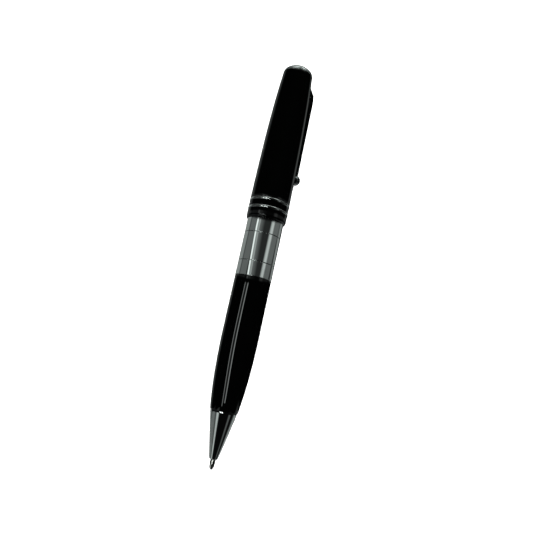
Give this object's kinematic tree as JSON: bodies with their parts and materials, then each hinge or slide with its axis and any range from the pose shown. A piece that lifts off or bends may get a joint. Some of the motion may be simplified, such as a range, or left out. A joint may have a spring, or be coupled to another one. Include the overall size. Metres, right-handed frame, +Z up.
{
  "type": "concealed recorder pen",
  "caption": "Twist-action ballpoint pen with a pull-apart body, chrome sleeve and trim rings, a ball-ended pocket clip, and a miniature camera recorder hidden in its upper half.",
  "frame": {"origin": "centre of the pen's length and of its width, on the table it lies on", "axes": "+X along the pen from the writing tip towards the cap, +Z up, the clip towards -Y and down to the table"},
  "size_m": [0.1422, 0.016, 0.014],
  "materials": {
    "polished_chrome": "polished plating with fine wear",
    "black_lacquer": "gloss black lacquer on brass",
    "gunmetal": "polished dark plating on spring steel",
    "bare_brass": "turned",
    "nickel": "nickel plated",
    "ball_carbide": "ground carbide",
    "spring_steel": "drawn wire",
    "white_acetal": "moulded",
    "grey_acetal": "moulded",
    "black_moulding": "moulded",
    "ivory_moulding": "moulded",
    "seal_rubber": "moulded",
    "circuit_board": "green solder mask",
    "chip_resin": "moulded resin",
    "amber_film": "polyimide film",
    "clear_glass": "clear",
    "red_light": "tinted lens",
    "battery_foil": "laminated foil",
    "white_foam": "adhesive foam"
  },
  "bodies": {
    "lower_half": {"nose_cone": "polished_chrome", "lower_barrel": "black_lacquer", "sleeve_lower_ring": "polished_chrome", "sleeve_middle_ring": "polished_chrome", "sleeve_upper_ring": "polished_chrome", "inner_tube": "bare_brass", "cam_housing": "white_acetal"},
    "twist_driver": {"cam_driver": "grey_acetal"},
    "refill": {"refill_holder": "white_acetal", "refill_tube": "bare_brass", "refill_tip": "nickel"},
    "writing_ball": {"tip_ball": "ball_carbide"},
    "upper_half": {"collar": "black_lacquer", "coupling_spigot": "bare_brass", "seal_ring": "seal_rubber", "lower_trim_ring": "polished_chrome", "band_spacer": "black_lacquer", "upper_trim_ring": "polished_chrome", "upper_barrel": "black_lacquer", "bezel_ring": "polished_chrome", "front_carrier": "black_moulding", "main_board": "circuit_board", "power_chip": "chip_resin", "processor_chip": "chip_resin", "memory_chip": "chip_resin", "camera_connector": "ivory_moulding", "camera_flex": "amber_film", "camera_module": "black_moulding", "lens_barrel": "black_moulding", "lens_window": "clear_glass", "microphone": "nickel", "usb_socket": "nickel", "usb_tongue": "black_moulding", "charge_light": "red_light", "battery_cell": "battery_foil", "battery_foam": "white_foam", "battery_tabs": "nickel", "switch_board": "circuit_board", "switch_holder": "black_moulding", "tact_switch": "chip_resin", "button_spring": "spring_steel"},
    "button": {"button_cap": "polished_chrome", "button_stem": "grey_acetal", "switch_plunger": "black_moulding"},
    "pocket_clip": {"clip": "gunmetal", "clip_ball": "gunmetal"}
  },
  "joints": [
    {"name": "barrel_twist", "type": "hinge", "parent": "lower_half", "child": "twist_driver", "pos_m": [-0.0011, 0.00097, 0.007], "axis": [1, 0, 0], "range_deg": [0, 150]},
    {"name": "refill_travel", "type": "slide", "parent": "lower_half", "child": "refill", "axis": [1, 0, 0], "range_m": [0, 0.0045]},
    {"name": "ball_roll", "type": "hinge", "parent": "refill", "child": "writing_ball", "pos_m": [-0.0706, 0.00097, 0.007], "axis": [0, 1, 0], "continuous": true},
    {"name": "halves_pull", "type": "slide", "parent": "twist_driver", "child": "upper_half", "axis": [1, 0, 0], "range_m": [0, 0.03]},
    {"name": "button_press", "type": "slide", "parent": "upper_half", "child": "button", "axis": [-1, 0, 0], "range_m": [0, 0.0006], "stiffness_N_per_m": 600, "springref_m": -0.001, "deforming": ["button_spring"]},
    {"name": "clip_flex", "type": "hinge", "parent": "upper_half", "child": "pocket_clip", "pos_m": [0.0661, -0.00316, 0.004], "axis": [0, -0.5878, 0.809], "range_deg": [0, 3.5], "stiffness_Nm_per_rad": 2.5, "springref_deg": -0.57}
  ],
  "couplings": [
    {"joint": "refill_travel", "follows": "barrel_twist", "m_per_rad": 0.0017189}
  ]
}
